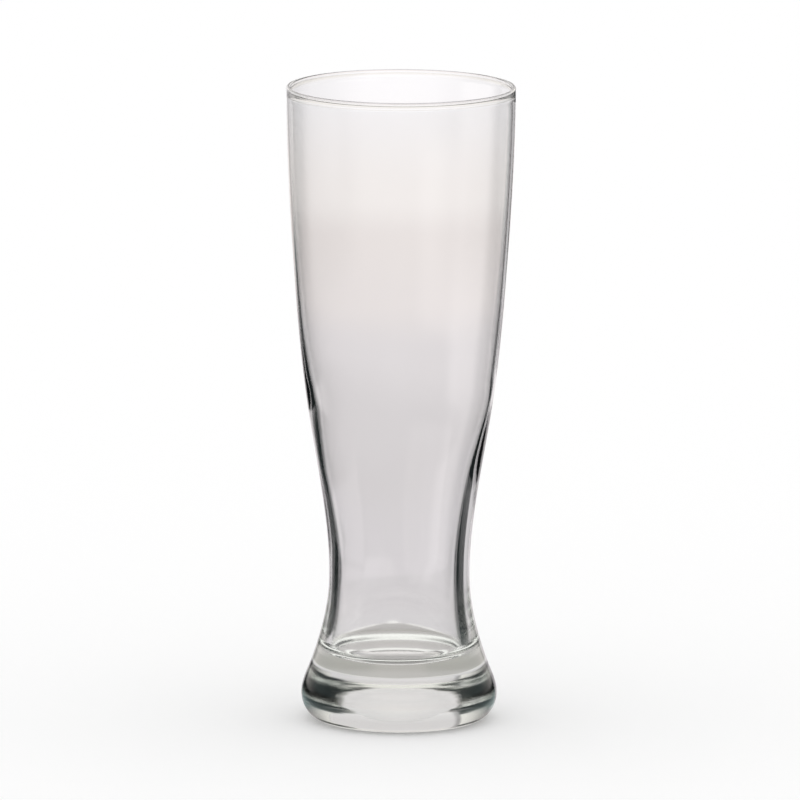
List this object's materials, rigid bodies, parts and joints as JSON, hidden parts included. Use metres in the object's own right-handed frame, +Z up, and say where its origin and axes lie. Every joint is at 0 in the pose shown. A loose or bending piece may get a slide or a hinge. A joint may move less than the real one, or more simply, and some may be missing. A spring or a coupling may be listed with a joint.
{
  "type": "pilsner glass",
  "caption": "Tall clear footed pilsner glass: tapering thin-walled bowl with a beaded rim, narrow thick-walled waist and heavy solid foot, for holding a drink.",
  "frame": {"origin": "centre of the flat ring that the glass stands on, on the resting plane", "axes": "+Z up along the axis of revolution; X and Y are any two level directions"},
  "size_m": [0.0844, 0.0844, 0.2365],
  "materials": {
    "clear_glass": "smooth fire-polished clear glass with a faint green tint in thick places"
  },
  "bodies": {
    "root": {"rim": "clear_glass", "bowl": "clear_glass", "waist": "clear_glass", "foot": "clear_glass"}
  },
  "joints": []
}
